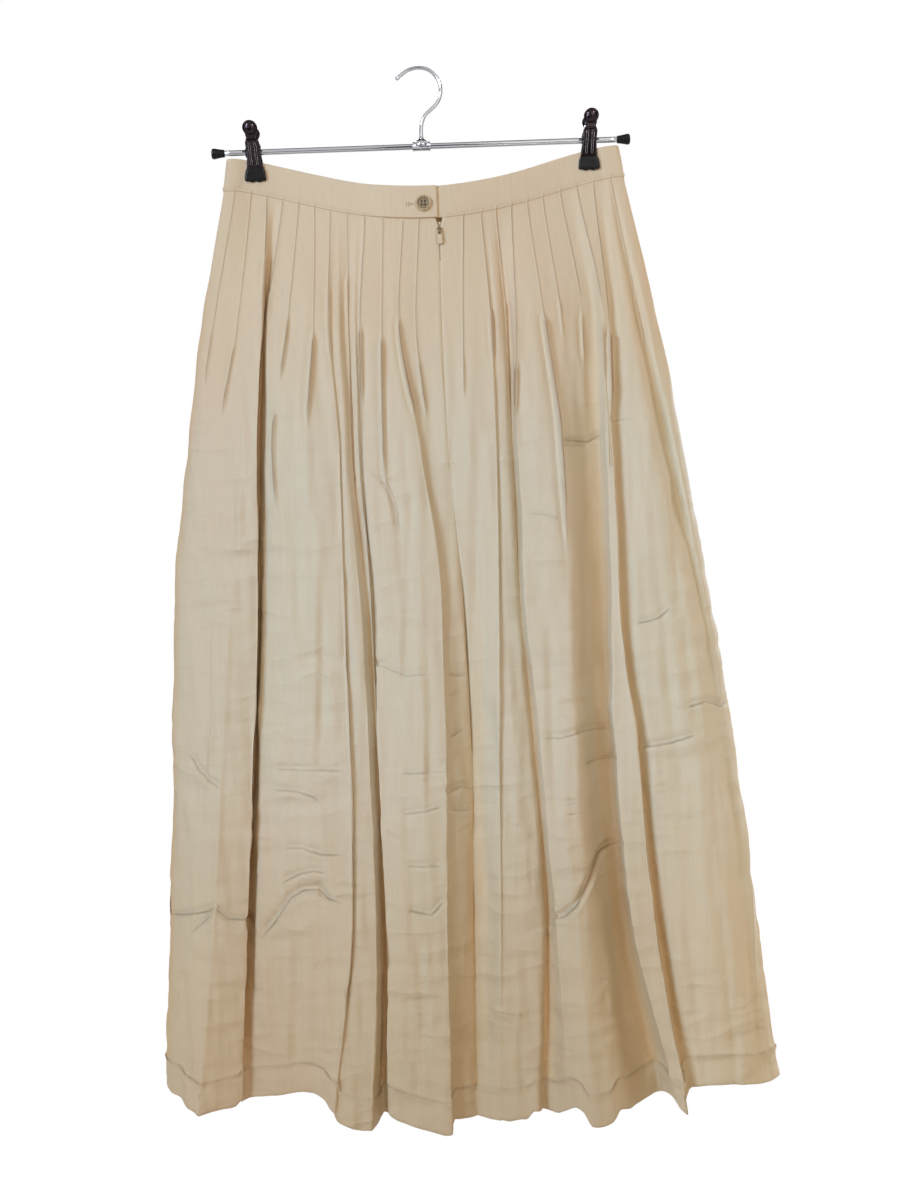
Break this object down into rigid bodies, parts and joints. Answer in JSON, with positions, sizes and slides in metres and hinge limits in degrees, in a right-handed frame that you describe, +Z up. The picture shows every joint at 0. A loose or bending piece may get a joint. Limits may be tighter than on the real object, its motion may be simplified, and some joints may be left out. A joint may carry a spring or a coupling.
{
  "type": "a-line skirt on a clip hanger",
  "caption": "Long flared skirt with stitched tucks, waistband, button and zip, hung from a two-clip hanger; the zip's pull tab swings.",
  "frame": {"origin": "inside top of the hanger's hook, where a rail or wall hook carries it", "axes": "+Z up, X along the hanger's rod with the zip side's right hand at +X, -Y towards the viewer on the zip side"},
  "size_m": [0.5842, 0.1575, 0.9915],
  "materials": {
    "skirt_cloth": "fine smooth viscose-like woven, cream, soft sheen",
    "zip_tape": "matt knitted tape, cream",
    "zip_metal": "painted light bronze, satin",
    "button": "horn-like, beige grey, satin",
    "hanger_chrome": "polished",
    "clip_metal": "black nickel, polished",
    "hanger_rubber": "smooth black"
  },
  "bodies": {
    "root": {"panel_zip_left": "skirt_cloth", "panel_zip_right": "skirt_cloth", "panel_plain": "skirt_cloth", "waistband": "skirt_cloth", "zip_tape": "zip_tape", "zip_slider": "zip_metal", "button": "button", "hanger_hook": "hanger_chrome", "hanger_boss": "hanger_chrome", "hanger_rod": "hanger_chrome", "end_cap_left": "hanger_rubber", "end_cap_right": "hanger_rubber", "front_jaw_left": "clip_metal", "front_jaw_right": "clip_metal", "back_jaw_left": "clip_metal", "back_jaw_right": "clip_metal", "front_pad_left": "hanger_rubber", "front_pad_right": "hanger_rubber", "back_pad_left": "hanger_rubber", "back_pad_right": "hanger_rubber", "clip_spring_left": "hanger_chrome", "clip_spring_right": "hanger_chrome"},
    "pull_tab": {"zip_pull": "zip_metal"}
  },
  "joints": [
    {"name": "pull_tab_swing", "type": "hinge", "parent": "root", "child": "pull_tab", "pos_m": [0.0149, -0.019, -0.1586], "axis": [-1, 0, 0], "range_deg": [0, 160]}
  ]
}
